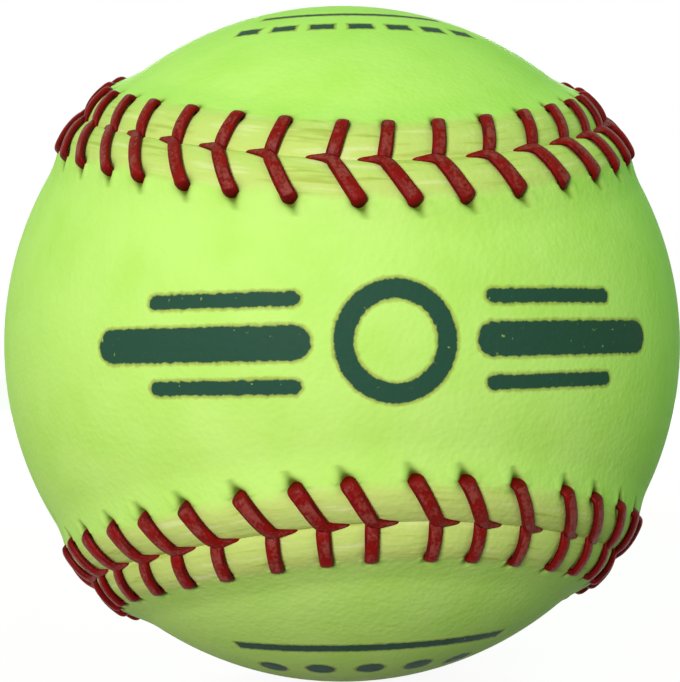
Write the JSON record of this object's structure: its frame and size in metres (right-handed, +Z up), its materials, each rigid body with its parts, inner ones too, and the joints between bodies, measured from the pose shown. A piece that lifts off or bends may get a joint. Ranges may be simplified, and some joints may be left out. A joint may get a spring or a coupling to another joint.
{
  "type": "softball",
  "caption": "Round leather-covered ball of two figure-of-eight panels laced along a raised seam, for batting, pitching and catching.",
  "frame": {"origin": "centre of the ball", "axes": "+Z up, through the two lobes of the back panel; -Y to the middle of the front panel's waist; +X through the front panel's right lobe"},
  "size_m": [0.089, 0.089, 0.089],
  "materials": {
    "cork_composition": "matte ground cork bound with rubber",
    "coarse_yarn": "coarse grey yarn, wound tight",
    "fine_yarn": "fine white nylon yarn, wound smooth",
    "latex": "thin dull latex dip",
    "cement": "dried contact cement",
    "cover_leather": "optic yellow leather with a fine grain and a dull sheen",
    "lacing_thread": "thick waxed red thread"
  },
  "bodies": {
    "root": {"core": "cork_composition", "coarse_winding": "coarse_yarn", "fine_winding": "fine_yarn", "latex_skin": "latex", "front_cement": "cement", "back_cement": "cement", "front_cover": "cover_leather", "back_cover": "cover_leather", "front_first_thread": "lacing_thread", "back_first_thread": "lacing_thread"}
  },
  "joints": []
}
